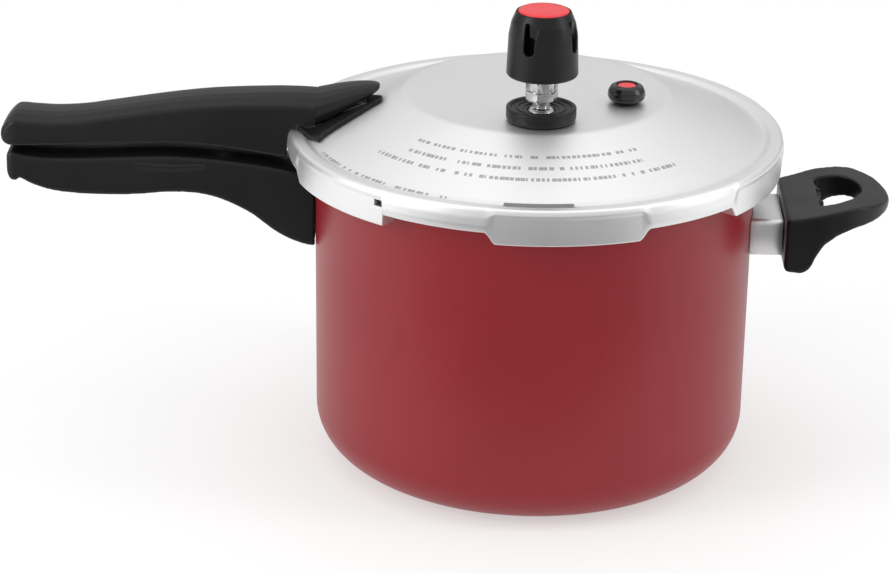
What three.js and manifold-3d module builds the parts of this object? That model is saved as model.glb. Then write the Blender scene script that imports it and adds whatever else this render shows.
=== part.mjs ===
// Stovetop pressure cooker with an outer bayonet lid, in millimetres.
// Origin: centre of the pot's flat bottom. +Z is up, the long handles point to -X and the
// helper handle to +X. Every separate piece is a closed solid of its own.

import * as THREE from 'three';
import { mergeVertices } from 'three/addons/utils/BufferGeometryUtils.js';
import Module from 'manifold-3d';

const wasm = await Module();
wasm.setup();

// ---- driving dimensions ----
const GAP = 0.3; // clearance kept between touching pieces
const ROUND = 60; // segments of a large turned piece
const SMALL_ROUND = 16; // segments of a small turned piece

const POT_R = 103;
const POT_WALL = 3;
const POT_FLOOR = 4;
const POT_CORNER_R = 26; // bottom corner, along the radius
const POT_CORNER_H = 23.5; // bottom corner, along the height
const RIM_Z = 150.5;
const FLANGE_R = 110;
const FLANGE_T = 2.6;
const NOTCH_R = 104.6;

const LID_R = 116;
const LID_T = 2;
const LID_RIM_Z = 161.8;
const CROWN_R = 62;
const CROWN_Z = 178.7;
const CHANNEL_R = 107;
const CHANNEL_Z = 160.3;
const CONE_FOOT_R = 103.5;
const CONE_FOOT_Z = 161.4;
const SKIRT_Z = 150.4; // bottom edge of the skirt between the lugs
const LUG_Z = 145.2; // bottom face of the lugs
const LUG_T = 2.5;
const LUG_R = 106; // inner radius of the lugs
const LUG_COUNT = 6;
const LUG_PITCH = 360 / LUG_COUNT;
const LUG_ANGLE = 34.4; // degrees covered by one lug
const LUG_PHASE = -82; // middle of the front lug, degrees from +X
const UNLOCK_ANGLE = 30; // lid turn that frees the lugs
const STOP_HOLE = { turn: LUG_PHASE - 44, halfWidth: 2.2, z0: 154.2, z1: 157.2 };
const WINDOW = { turn: -88.6, halfWidth: 15.6, near: 104.2, far: 110.6 }; // slot in the lid's rim

const VALVE_X = 2.5;
const VALVE_Y = -42;
const SAFETY_X = 41.5;
const SAFETY_Y = -14;
const SAFETY_HOLE_R = 5;
const VENT_HOLE_R = 4.3;
const VENT_TOP_Z = 196;
const WEIGHT_HUB_R = 7;
const CAP_SCREW_R = 1.5;
const CAP_SLOT_TURNS = [-24, 66, 156, 246];

const HANDLE_HALF_W = 15.5;
const RIVET_R = 2.4;
const RIVET_HEAD_R = 5;
const RIVET_HEAD_T = 1.8;
const SCREW_R = 2;
const SCREW_HEAD_R = 4;
const SHEET_T = 2; // steel of the brackets
const BEYOND_R = 130; // reach of a cutter that passes the rim

const BODY_BRACKET_Z = 137;
const BODY_TONGUE_HALF_W = 10;
const BODY_SCREW_X = -145;
const BODY_SCREW_HEAD_Z = 132.8;
const LID_TONGUE_HALF_W = 9;
const LID_SCREW_X = -146;
const LID_SCREW_HEAD_Z = 157.8;
const RIVET_SLOPE_Z = 170.4; // height of the cone's outer face at the lid's rivets

const HELPER_X = 117; // inner face of the helper handle
const HELPER_TIP_X = 166.8;
const HELPER_HOLE_X = 153.6; // outer end of the finger hole
const HELPER_BRACKET_HALF_W = 19.5;
const HELPER_BRACKET_Z0 = 107.4;
const HELPER_BRACKET_Z1 = 124.4;
const HELPER_SCREW_Z = 116;
const HELPER_SCREW_HEAD_X = 126;

// Rivets through the pot wall: side (-1 long handle, +1 helper) and height.
const RIVET_PLACES = [[-1, 114], [-1, 130], [1, 111.7], [1, 118.9]];
const SMALL_RIVET_HEAD_R = 3.4;
const LID_RIVET_X = -86;
const LID_RIVET_YS = [-5, 5];
const LID_BRACKET_Z = 166;
const COVER_X = -102; // seam between the handle and its cover

// Plan of the upper handle's foot on the lid, and its height above the lid's slope.
const FOOT = [
  [-113, -15], [-110.5, -15.4], [-98.6, -31.8], [-97.2, -28.2], [-92, -23.4], [-84.6, -18.6],
  [-76.7, -13.2], [-71.2, -9.6], [-71, -6.4], [-77.5, 3], [-79, 12], [-84.6, 18.6],
  [-92, 23.4], [-97.2, 28.2], [-98.6, 31.8], [-110.5, 15.4], [-113, 15],
];
const FOOT_T = 2.5;

// Each station is [x, top, bottom].
const LID_HANDLE = [
  [COVER_X, 177.2, 158], [-110, 177.3, 150], [-117, 177.3, 148.4], [-126, 177, 149.7],
  [-137, 176.3, 151.2], [-152, 175.2, 153], [-168, 173.2, 153.6], [-182, 171, 153.1],
  [-200, 168, 152.4], [-212, 166, 151.8], [-225, 165, 151.2], [-236, 165, 150.9],
  [-244, 164.8, 151.2], [-250, 161, 154],
];
const BODY_HANDLE = [
  [-101, 139.5, 104], [-108, 140.6, 105.2], [-114.5, 142, 107.5], [-121, 143.4, 111.1],
  [-127, 144.3, 115.6], [-132, 145, 119.5], [-141, 146.1, 124.3], [-150, 147, 127.7],
  [-160, 147.7, 129.4], [-172, 148, 129.4], [-185, 147.4, 128], [-200, 146.6, 127.5],
  [-213, 146, 127.7], [-226, 145.8, 128.9], [-236, 146.2, 131.8], [-243, 147.4, 134.6],
  [-247, 146.4, 138],
];
const COVER = [[COVER_X - 0.3, 177.4, 163.4, 15.4], [-94, 179.2, 168.2, 14], [-84, 180.6, 173, 11],
  [-77, 181.2, 176.4, 8], [-73, 180.8, 178, 4.5]];

// ---- materials ----
const finish = (color, roughness, metalness) =>
  new THREE.MeshStandardMaterial({ color, roughness, metalness });
const redCoat = finish(0x9c2f39, 0.45, 0.1);
const polished = finish(0xd8d9da, 0.22, 1);
const phenolic = finish(0x1b1b1c, 0.4, 0);
const steel = finish(0xb9babc, 0.3, 1);
const brass = finish(0xc9b06a, 0.3, 1);
const rubber = finish(0x55585a, 0.8, 0);
const blackRubber = finish(0x161616, 0.5, 0);
const redPlastic = finish(0xd8363c, 0.35, 0);

// ---- solids ----
function orientedOut(geometry) {
  const bare = geometry.index ? geometry.toNonIndexed() : geometry.clone();
  bare.deleteAttribute('normal');
  bare.deleteAttribute('uv');
  const merged = mergeVertices(bare, 1e-4);
  const position = merged.attributes.position;
  const index = Array.from(merged.index.array);
  const triangles = [];
  const [a, b, c] = [new THREE.Vector3(), new THREE.Vector3(), new THREE.Vector3()];
  let volume = 0;
  for (let i = 0; i < index.length; i += 3) {
    const [p, q, r] = index.slice(i, i + 3);
    if (p === q || q === r || r === p) continue;
    a.fromBufferAttribute(position, p);
    b.fromBufferAttribute(position, q);
    c.fromBufferAttribute(position, r);
    volume += a.dot(b.cross(c));
    triangles.push(p, q, r);
  }
  if (volume < 0) triangles.reverse();
  return new wasm.Mesh({
    numProp: 3,
    vertProperties: new Float32Array(position.array),
    triVerts: new Uint32Array(triangles),
  });
}

const solid = (geometry) => new wasm.Manifold(orientedOut(geometry));

function toGeometry(body) {
  const mesh = body.getMesh();
  const geometry = new THREE.BufferGeometry();
  geometry.setAttribute('position', new THREE.BufferAttribute(mesh.vertProperties, 3));
  geometry.setIndex(new THREE.BufferAttribute(mesh.triVerts, 1));
  geometry.computeVertexNormals();
  return geometry;
}

function named(name, body, material) {
  const mesh = new THREE.Mesh(toGeometry(body), material);
  mesh.name = name;
  return mesh;
}

// Turns a closed (radius, height) outline about the Z axis, then moves it to x, y.
function turned(outline, segments = ROUND, x = 0, y = 0) {
  const points = outline.map(([r, z]) => new THREE.Vector2(r, z));
  points.push(points[0].clone());
  const geometry = new THREE.LatheGeometry(points, segments);
  return solid(geometry.rotateX(Math.PI / 2).translate(x, y, 0));
}

function cylinder(r, z0, z1, x = 0, y = 0, segments = SMALL_ROUND) {
  const geometry = new THREE.CylinderGeometry(r, r, z1 - z0, segments);
  return solid(geometry.rotateX(Math.PI / 2).translate(x, y, (z0 + z1) / 2));
}

function cylinderX(r, x0, x1, y, z) {
  const geometry = new THREE.CylinderGeometry(r, r, x1 - x0, SMALL_ROUND);
  return solid(geometry.rotateZ(Math.PI / 2).translate((x0 + x1) / 2, y, z));
}

function box(x0, x1, y0, y1, z0, z1) {
  const geometry = new THREE.BoxGeometry(x1 - x0, y1 - y0, z1 - z0);
  return solid(geometry.translate((x0 + x1) / 2, (y0 + y1) / 2, (z0 + z1) / 2));
}

// Extrudes an outline in the XY plane from z0 to z1.
function plate(outline, z0, z1) {
  const shape = new THREE.Shape(outline.map(([x, y]) => new THREE.Vector2(x, y)));
  const geometry = new THREE.ExtrudeGeometry(shape, { depth: z1 - z0, bevelEnabled: false });
  return solid(geometry.translate(0, 0, z0));
}

// Extrudes an outline in the XZ plane from y0 to y1.
function sidePlate(outline, y0, y1) {
  const shape = new THREE.Shape(outline.map(([x, z]) => new THREE.Vector2(x, z)));
  const geometry = new THREE.ExtrudeGeometry(shape, { depth: y1 - y0, bevelEnabled: false });
  return solid(geometry.rotateX(Math.PI / 2).translate(0, y1, 0));
}

// Outline with its corners cut, for a hexagon of the given width across flats.
function hexagon(acrossFlats, x, y) {
  const r = acrossFlats / Math.sqrt(3);
  const corner = (i) => (i * Math.PI) / 3 + Math.PI / 12;
  const angles = Array.from({ length: 6 }, (_, i) => corner(i));
  return angles.map((t) => [x + r * Math.cos(t), y + r * Math.sin(t)]);
}

// Skins rings of equal point count into one closed body, with a fan on each end.
function loft(rings) {
  const vertices = [];
  const faces = [];
  const count = rings[0].length;
  for (const ring of rings) for (const p of ring) vertices.push(...p);
  for (let s = 0; s < rings.length - 1; s++) {
    for (let i = 0; i < count; i++) {
      const a = s * count + i;
      const b = s * count + ((i + 1) % count);
      faces.push(a, b, a + count, b, b + count, a + count);
    }
  }
  const last = (rings.length - 1) * count;
  for (let i = 1; i < count - 1; i++) {
    faces.push(0, i + 1, i);
    faces.push(last, last + i, last + i + 1);
  }
  const geometry = new THREE.BufferGeometry();
  geometry.setAttribute('position', new THREE.Float32BufferAttribute(vertices, 3));
  geometry.setIndex(faces);
  return solid(geometry);
}

// A handle's section: a rounded box between two heights, square-ish for a high power.
function section(x, zTop, zBottom, halfWidth, power = 4, count = 16) {
  const bend = (v) => Math.sign(v) * Math.abs(v) ** (2 / power);
  return Array.from({ length: count }, (_, i) => {
    const t = (2 * Math.PI * (i + 0.5)) / count;
    const z = (zTop + zBottom) / 2 + ((zTop - zBottom) / 2) * bend(Math.sin(t));
    return [x, halfWidth * bend(Math.cos(t)), z];
  });
}

function wedge(middle, halfAngle, radius, z0, z1) {
  const at = (degrees) => {
    const t = THREE.MathUtils.degToRad(degrees);
    return [radius * Math.cos(t), radius * Math.sin(t)];
  };
  return plate([[0, 0], at(middle - halfAngle), at(middle), at(middle + halfAngle)], z0, z1);
}

// ---- pot ----
function makePot() {
  const outline = [[0, 0]];
  const steps = 5;
  for (let i = 0; i <= steps; i++) {
    const t = (i / steps) * (Math.PI / 2);
    const r = POT_R - POT_CORNER_R * (1 - Math.sin(t));
    outline.push([r, POT_CORNER_H * (1 - Math.cos(t))]);
  }
  outline.push([POT_R, RIM_Z - FLANGE_T], [FLANGE_R, RIM_Z - FLANGE_T], [FLANGE_R, RIM_Z]);
  outline.push([POT_R - POT_WALL, RIM_Z]);
  for (let i = steps; i >= 0; i--) {
    const t = (i / steps) * (Math.PI / 2);
    const r = POT_R - POT_WALL - (POT_CORNER_R - POT_WALL) * (1 - Math.sin(t));
    outline.push([r, POT_FLOOR + (POT_CORNER_H - POT_FLOOR) * (1 - Math.cos(t))]);
  }
  outline.push([0, POT_FLOOR]);
  let pot = turned(outline);
  for (let i = 0; i < LUG_COUNT; i++) {
    const middle = LUG_PHASE + UNLOCK_ANGLE + i * LUG_PITCH;
    const notch = wedge(middle, LUG_ANGLE / 2 + 2, BEYOND_R, RIM_Z - FLANGE_T - 1, RIM_Z + 1);
    pot = pot.subtract(notch.subtract(cylinder(NOTCH_R, 140, 160, 0, 0, ROUND)));
  }
  for (const [side, z] of RIVET_PLACES) {
    pot = pot.subtract(cylinderX(RIVET_R + GAP, side < 0 ? -110 : 90, side < 0 ? -90 : 110, 0, z));
  }
  return pot;
}

function makeWallRivet(side, z) {
  const headR = side < 0 ? RIVET_HEAD_R : SMALL_RIVET_HEAD_R;
  const inside = POT_R - POT_WALL - 0.6;
  const outside = POT_R + SHEET_T + 2 * GAP;
  const shank = cylinderX(RIVET_R, inside - 0.5, outside + 0.5, 0, z);
  const innerHead = cylinderX(headR, inside - RIVET_HEAD_T, inside, 0, z);
  const outerHead = cylinderX(headR, outside, outside + RIVET_HEAD_T, 0, z);
  const rivet = shank.add(innerHead).add(outerHead);
  return side < 0 ? rivet.mirror([1, 0, 0]) : rivet;
}

// ---- long handle on the pot ----
function makeBodyHandle() {
  const outer = BODY_HANDLE.map(([x, top, bottom]) => section(x, top, bottom, HANDLE_HALF_W));
  const inside = BODY_HANDLE.slice(1, -1);
  const hollow = inside.map(([x, top, bottom]) =>
    section(x - 0.5, top - 4, bottom - 9, HANDLE_HALF_W - 3, 6));
  const boss = box(-152, -138, -14, 14, 130.5, 141);
  const shell = loft(outer).subtract(loft(hollow)).add(boss.intersect(loft(outer)));
  const room = BODY_TONGUE_HALF_W + GAP;
  const bracket = box(-155, -100, -room, room, BODY_BRACKET_Z - GAP, BODY_BRACKET_Z + SHEET_T + GAP);
  const web = box(-108, -100, -room, room, 90, BODY_BRACKET_Z + SHEET_T + GAP);
  const screw = cylinder(SCREW_R + GAP, 120, 145, BODY_SCREW_X, 0);
  const screwHead = cylinder(SCREW_HEAD_R + GAP, 120, BODY_SCREW_HEAD_Z + GAP, BODY_SCREW_X, 0);
  return shell
    .subtract(cylinder(POT_R + 0.4, 90, 160, 0, 0, ROUND))
    .subtract(bracket).subtract(web).subtract(screw).subtract(screwHead);
}

// An angle of sheet steel: one leg curved on the wall, the other running into the handle.
function makeBodyBracket() {
  const half = BODY_TONGUE_HALF_W;
  const leg = box(-112, -95, -half, half, 106.5, BODY_BRACKET_Z + SHEET_T);
  const ring = cylinder(POT_R + GAP + SHEET_T, 100, 150, 0, 0, ROUND)
    .subtract(cylinder(POT_R + GAP, 99, 151, 0, 0, ROUND));
  const tongue = box(-152, -104, -half, half, BODY_BRACKET_Z, BODY_BRACKET_Z + SHEET_T)
    .subtract(cylinder(POT_R + GAP, 99, 151, 0, 0, ROUND));
  let bracket = leg.intersect(ring).add(tongue);
  for (const [side, z] of RIVET_PLACES) {
    if (side < 0) bracket = bracket.subtract(cylinderX(RIVET_R + GAP, -115, -95, 0, z));
  }
  return bracket.subtract(cylinder(SCREW_R + GAP, 130, 145, BODY_SCREW_X, 0));
}

function makeUpScrew(x, y, zHead, zTop) {
  const head = cylinder(SCREW_HEAD_R, zHead - 2.4, zHead, x, y);
  const slot = box(x - 5, x + 5, y - 0.6, y + 0.6, zHead - 3, zHead - 1.4);
  return head.add(cylinder(SCREW_R, zHead - 1, zTop, x, y)).subtract(slot);
}

// ---- helper handle ----
function makeHelperBracket() {
  const [z0, z1, w] = [HELPER_BRACKET_Z0, HELPER_BRACKET_Z1, HELPER_BRACKET_HALF_W];
  const outer = box(100, HELPER_X - GAP, -w, w, z0, z1);
  const inner = box(99, HELPER_X - GAP - SHEET_T, -w + SHEET_T, w - SHEET_T, z0 - 1, z1 - SHEET_T);
  const wallLeg = cylinder(POT_R + GAP + SHEET_T, z0, z1 - 1, 0, 0, ROUND)
    .intersect(box(95, 110, -w, w, z0, z1 - 1));
  let bracket = outer.subtract(inner).add(wallLeg)
    .subtract(cylinder(POT_R + GAP, 90, 140, 0, 0, ROUND));
  for (const [side, z] of RIVET_PLACES) {
    if (side > 0) bracket = bracket.subtract(cylinderX(RIVET_R + GAP, 95, 112, 0, z));
  }
  return bracket.subtract(cylinderX(SCREW_R + GAP, 112, 120, 0, HELPER_SCREW_Z));
}

function makeHelperHandle() {
  const plan = new THREE.Shape();
  plan.moveTo(HELPER_X, -26);
  plan.lineTo(HELPER_X + 3.5, -30.5);
  plan.lineTo(134, -32.6);
  plan.bezierCurveTo(149, -33, HELPER_TIP_X, -19, HELPER_TIP_X, 0);
  plan.bezierCurveTo(HELPER_TIP_X, 19, 149, 33, 134, 32.6);
  plan.lineTo(HELPER_X + 3.5, 30.5);
  plan.lineTo(HELPER_X, 26);
  const hole = new THREE.Path();
  hole.moveTo(133.4, -18.5);
  hole.lineTo(138, -18.8);
  hole.bezierCurveTo(147, -17.6, HELPER_HOLE_X, -9, HELPER_HOLE_X, 0);
  hole.bezierCurveTo(HELPER_HOLE_X, 9, 147, 17.6, 138, 18.8);
  hole.lineTo(133.4, 18.5);
  plan.holes.push(hole);
  const depth = { depth: 60, bevelEnabled: false, curveSegments: 8 };
  const block = solid(new THREE.ExtrudeGeometry(plan, depth).translate(0, 0, 90));
  const side = [
    [HELPER_X, 103.2], [125.2, 102.6], [128.9, 105.6], [131, 111], [134.6, 117.6], [141, 122.4],
    [148, 125.2], [158, 126.6], [164, 127.8], [167, 129], [167, 131.4], [161, 134], [152, 135.4],
    [145, 134.9], [135, 133], [125, 130], [HELPER_X, 128.2],
  ];
  return block.intersect(sidePlate(side, -40, 40))
    .subtract(cylinderX(SCREW_R + GAP, 110, 130, 0, HELPER_SCREW_Z))
    .subtract(cylinderX(SCREW_HEAD_R + GAP, HELPER_SCREW_HEAD_X, 140, 0, HELPER_SCREW_Z));
}

function makeHelperScrew() {
  const head = cylinderX(SCREW_HEAD_R, HELPER_SCREW_HEAD_X + GAP, 128.6, 0, HELPER_SCREW_Z);
  const slot = box(127.7, 129, -5, 5, HELPER_SCREW_Z - 0.6, HELPER_SCREW_Z + 0.6);
  const thread = cylinderX(SCREW_R, 113, 127, 0, HELPER_SCREW_Z);
  return head.add(thread).subtract(slot);
}

// ---- gasket and lid ----
function makeGasket() {
  const z1 = CHANNEL_Z - LID_T - GAP;
  const z0 = RIM_Z + GAP;
  return turned([
    [100.5, z0], [111.5, z0], [111.5, z1 - 0.6], [110.9, z1], [103, z1], [102.6, z0 + 2.6],
    [100.5, z0 + 2.2],
  ]);
}

// Outer face of the lid from the axis to the rim, moved out by an offset.
function lidFace(offset) {
  return [
    [0, CROWN_Z + offset], [CROWN_R - 1.5, CROWN_Z + offset],
    [CROWN_R + 2 + offset * 0.4, CROWN_Z - 0.8 + offset * 0.92],
    [CONE_FOOT_R + offset * 0.4, CONE_FOOT_Z + offset * 0.92], [CHANNEL_R, CHANNEL_Z + offset],
    [LID_R - 5.5, LID_RIM_Z - 0.3 + offset], [LID_R - 2.8 + offset * 0.2, LID_RIM_Z + offset],
    [LID_R - 0.9 + offset * 0.8, LID_RIM_Z - 1.2 + offset * 0.6],
  ];
}

function makeLidShell() {
  const inner = [
    [0, CROWN_Z - LID_T], [CROWN_R - 2, CROWN_Z - LID_T], [CROWN_R + 1.2, CROWN_Z - 0.8 - LID_T],
    [CONE_FOOT_R - 0.8, CONE_FOOT_Z - LID_T], [CHANNEL_R, CHANNEL_Z - LID_T],
    [LID_R - 4, LID_RIM_Z - 0.7 - LID_T], [LID_R - LID_T, LID_RIM_Z - 4.4],
  ];
  const outline = [
    ...lidFace(0), [LID_R, LID_RIM_Z - 4], [LID_R, LUG_Z + 1], [LID_R - 1, LUG_Z],
    [LUG_R + 0.5, LUG_Z], [LUG_R, LUG_Z + 0.5], [LUG_R, LUG_Z + LUG_T],
    [LID_R - LID_T, LUG_Z + LUG_T], ...inner.reverse(),
  ];
  let lid = turned(outline);
  for (let i = 0; i < LUG_COUNT; i++) {
    const middle = LUG_PHASE + LUG_PITCH / 2 + i * LUG_PITCH;
    lid = lid.subtract(wedge(middle, (LUG_PITCH - LUG_ANGLE) / 2, BEYOND_R, LUG_Z - 1, SKIRT_Z));
  }
  const { near, far, halfWidth } = WINDOW;
  const halfTurn = THREE.MathUtils.radToDeg(Math.asin(halfWidth / far));
  const window = wedge(0, halfTurn, BEYOND_R, 155, 165)
    .intersect(cylinder(far, 155, 165, 0, 0, ROUND)).subtract(cylinder(near, 154, 166, 0, 0, ROUND))
    .rotate([0, 0, WINDOW.turn]);
  const { halfWidth: stopHalf, z0, z1 } = STOP_HOLE;
  const stopHole = box(LID_R - 5, LID_R + 5, -stopHalf, stopHalf, z0, z1).rotate([0, 0, STOP_HOLE.turn]);
  lid = lid.subtract(window).subtract(stopHole)
    .subtract(cylinder(VENT_HOLE_R, 170, 185, VALVE_X, VALVE_Y))
    .subtract(cylinder(SAFETY_HOLE_R, 170, 185, SAFETY_X, SAFETY_Y));
  for (const y of LID_RIVET_YS) lid = lid.subtract(cylinder(RIVET_R + GAP, 160, 182, LID_RIVET_X, y));
  return lid;
}

// ---- handle on the lid ----
function lidClearance(offset) {
  const face = lidFace(offset);
  const outline = [[0, 130], ...face, [LID_R + offset, LID_RIM_Z - 4], [LID_R + offset, 130]];
  return turned(outline);
}

function makeLidHandle() {
  const outer = LID_HANDLE.map(([x, top, bottom]) => section(x, top, bottom, HANDLE_HALF_W));
  const hollow = LID_HANDLE.slice(4, -2).map(([x, top, bottom]) =>
    section(x, top - 4, bottom - 8, HANDLE_HALF_W - 3, 6));
  const foot = plate(FOOT, 140, 190).intersect(lidClearance(FOOT_T));
  const room = LID_TONGUE_HALF_W + GAP;
  const bracketRoom = box(-158, -100, -room, room, LID_BRACKET_Z - GAP, LID_BRACKET_Z + SHEET_T + GAP)
    .add(box(-106, -77.6, -room, room, 150, 200).intersect(lidClearance(12)));
  const boss = box(-152, -140, -14, 14, 155.5, 170).intersect(loft(outer));
  return loft(outer).subtract(loft(hollow)).add(boss).add(foot)
    .subtract(lidClearance(GAP)).subtract(bracketRoom)
    .subtract(cylinder(SCREW_R + GAP, 150, 171, LID_SCREW_X, 0))
    .subtract(cylinder(SCREW_HEAD_R + GAP, 145, LID_SCREW_HEAD_Z + GAP, LID_SCREW_X, 0));
}

function makeLidCover() {
  const outer = COVER.map(([x, top, bottom, w]) => section(x + 0.6, top, bottom, w, 4));
  const recess = box(-110, -78, -9.4, 9.4, 150, 169.4).add(box(-91, -80.5, -9.4, 9.4, 150, 176.2));
  return loft(outer).subtract(recess).subtract(lidClearance(3.2));
}

// Sheet steel that lies on the cone, steps over the rim and runs into the handle.
function makeLidBracket() {
  const half = LID_TONGUE_HALF_W;
  const onLid = box(-98, -79, -half, half, 150, 200)
    .intersect(lidClearance(SHEET_T + GAP)).subtract(lidClearance(GAP));
  const tongue = box(-155, -94, -half, half, LID_BRACKET_Z, LID_BRACKET_Z + SHEET_T)
    .subtract(lidClearance(GAP));
  let bracket = onLid.add(tongue);
  for (const y of LID_RIVET_YS) {
    bracket = bracket.subtract(cylinder(RIVET_R + GAP, 150, 190, LID_RIVET_X, y));
  }
  return bracket.subtract(cylinder(SCREW_R + GAP, 150, 180, LID_SCREW_X, 0));
}

// The lid's rivets stand upright through the cone, so their heads sit on its slope.
function makeLidRivet(y) {
  const shank = cylinder(RIVET_R, RIVET_SLOPE_Z - 6, RIVET_SLOPE_Z + 3.6, LID_RIVET_X, y);
  const low = cylinder(SMALL_RIVET_HEAD_R, RIVET_SLOPE_Z - 7.4, RIVET_SLOPE_Z - 5.8, LID_RIVET_X, y);
  const high = cylinder(SMALL_RIVET_HEAD_R, RIVET_SLOPE_Z + 3.5, RIVET_SLOPE_Z + 5.2, LID_RIVET_X, y);
  return shank.add(low).add(high);
}

// ---- vent and regulator ----
function makeVentStem() {
  return turned([
    [1.4, 167], [3.9, 167], [3.9, 179], [6, 179], [6, 183.6], [5.2, 184.2], [2.6, 184.2],
    [2.6, VENT_TOP_Z - 1.5], [2, VENT_TOP_Z], [1.4, VENT_TOP_Z],
  ], SMALL_ROUND, VALVE_X, VALVE_Y);
}

function makeVentRing() {
  return turned([
    [6.4, 179], [15.2, 179], [15.8, 180.4], [15.8, 184.6], [15.2, 185.4], [14, 185.4],
    [13.6, 184.6], [10.2, 184.6], [9.9, 184], [6.4, 183.8],
  ], SMALL_ROUND, VALVE_X, VALVE_Y);
}

const makeVentWasher = () => turned([
  [4.3, 174.9], [9, 174.9], [9, 176.4], [4.3, 176.4]], SMALL_ROUND, VALVE_X, VALVE_Y);

const makeVentNut = () => plate(hexagon(13, VALVE_X, VALVE_Y), 169.6, 174.6)
  .subtract(cylinder(4.2, 168, 176, VALVE_X, VALVE_Y));

const makeNeedle = () => turned([
  [0, 195.4], [0.8, 196.6], [0.8, 198], [1.5, 198.6], [1.5, 206], [0, 206],
], SMALL_ROUND, VALVE_X, VALVE_Y);

function makeWeightCore() {
  const hexBar = plate(hexagon(12.6, VALVE_X, VALVE_Y), 186.4, 201);
  const barrel = turned([[0, 185], [3.6, 186.4], [7.4, 189.4], [7.4, 197.6], [7, 199], [7, 224],
    [0, 224]], SMALL_ROUND, VALVE_X, VALVE_Y);
  const upper = cylinder(WEIGHT_HUB_R, 199, 224, VALVE_X, VALVE_Y);
  return hexBar.intersect(barrel).add(upper)
    .subtract(cylinder(3.1, 180, 196.9, VALVE_X, VALVE_Y))
    .subtract(cylinder(1.8, 196, 206.4, VALVE_X, VALVE_Y))
    .subtract(cylinder(CAP_SCREW_R + GAP, 214, 226, VALVE_X, VALVE_Y));
}

function makeWeightCap() {
  const shell = turned([
    [0, 226.6], [13.2, 224.4], [13.9, 220], [14.4, 200.4], [15.6, 200], [16.1, 200.8],
    [15.3, 219.5], [14.6, 223.5], [13, 227.6], [11.9, 229.6], [11.7, 229], [0, 229],
  ], 24, VALVE_X, VALVE_Y);
  const bore = WEIGHT_HUB_R + GAP;
  const hub = turned([[bore, 206], [9, 206], [9, 227], [0, 227], [0, 224.3], [bore, 224.3]],
    SMALL_ROUND, VALVE_X, VALVE_Y);
  let cap = shell.add(hub);
  for (const turn of CAP_SLOT_TURNS) {
    const slot = box(-2.5, 2.5, -20, -11.2, 212.5, 225.6).rotate([0, 0, turn]);
    cap = cap.subtract(slot.translate([VALVE_X, VALVE_Y, 0]));
  }
  return cap.subtract(cylinder(CAP_SCREW_R + GAP, 220, 235, VALVE_X, VALVE_Y))
    .subtract(cylinder(3.6, 226.4, 235, VALVE_X, VALVE_Y));
}

const makeCapScrew = () => cylinder(3.3, 226.7, 228.4, VALVE_X, VALVE_Y)
  .add(cylinder(CAP_SCREW_R, 215, 227, VALVE_X, VALVE_Y));

const makeBadge = () => turned([[0, 229.3], [11.3, 229.3], [11.3, 229.8], [10, 230.4], [0, 230.6]],
  24, VALVE_X, VALVE_Y);

// ---- safety valve ----
function makeSafetySeal() {
  return turned([
    [2.3, 171.6], [6, 171.6], [7.6, 172.6], [7.6, 174.6], [6.6, 176.3], [4.6, 176.4],
    [4.6, 179], [7, 179], [7.6, 180.8], [8.2, 181.2], [8.6, 182.6], [8, 184.8], [6.2, 186.6],
    [5, 187.2], [4.9, 186.4], [2.3, 186.4],
  ], SMALL_ROUND, SAFETY_X, SAFETY_Y);
}

const makeSafetyPlug = () => turned([
  [0, 170.2], [2, 170.2], [2, 186.8], [4.4, 186.8], [4.4, 187.4], [0, 187.8],
], SMALL_ROUND, SAFETY_X, SAFETY_Y);

// ---- assembly ----
const pot = new THREE.Group();
pot.add(
  named('pot_body', makePot(), redCoat),
  named('body_handle', makeBodyHandle(), phenolic),
  named('body_handle_bracket', makeBodyBracket(), steel),
  named('body_handle_screw', makeUpScrew(BODY_SCREW_X, 0, BODY_SCREW_HEAD_Z, 141.5), steel),
  named('helper_bracket', makeHelperBracket(), polished),
  named('helper_handle', makeHelperHandle(), phenolic),
  named('helper_handle_screw', makeHelperScrew(), steel),
);
const rivetNames = ['body_handle_rivet_1', 'body_handle_rivet_2',
  'helper_bracket_rivet_1', 'helper_bracket_rivet_2'];
RIVET_PLACES.forEach(([side, z], i) => pot.add(named(rivetNames[i], makeWallRivet(side, z), polished)));

const lid = new THREE.Group();
lid.add(
  named('lid_shell', makeLidShell(), polished),
  named('lid_handle', makeLidHandle(), phenolic),
  named('lid_handle_cover', makeLidCover(), phenolic),
  named('lid_handle_bracket', makeLidBracket(), steel),
  named('lid_handle_screw', makeUpScrew(LID_SCREW_X, 0, LID_SCREW_HEAD_Z, 170), steel),
  named('vent_stem', makeVentStem(), brass),
  named('vent_ring', makeVentRing(), phenolic),
  named('vent_washer', makeVentWasher(), rubber),
  named('vent_nut', makeVentNut(), brass),
  named('safety_seal', makeSafetySeal(), blackRubber),
);
LID_RIVET_YS.forEach((y, i) => lid.add(named(`lid_handle_rivet_${i + 1}`, makeLidRivet(y), polished)));

const valves = new THREE.Group();
valves.add(
  named('weight_needle', makeNeedle(), steel),
  named('weight_core', makeWeightCore(), steel),
  named('weight_cap', makeWeightCap(), phenolic),
  named('weight_cap_screw', makeCapScrew(), steel),
  named('weight_badge', makeBadge(), redPlastic),
  named('safety_plug', makeSafetyPlug(), redPlastic),
);

const cooker = new THREE.Group();
cooker.add(pot, named('gasket', makeGasket(), rubber), lid, valves);

export default cooker;
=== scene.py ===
"""Stovetop pressure cooker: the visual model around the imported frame. Outlines are in mm."""

import math

import bmesh
import bpy
import numpy as np
from mathutils import Matrix, Vector


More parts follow.
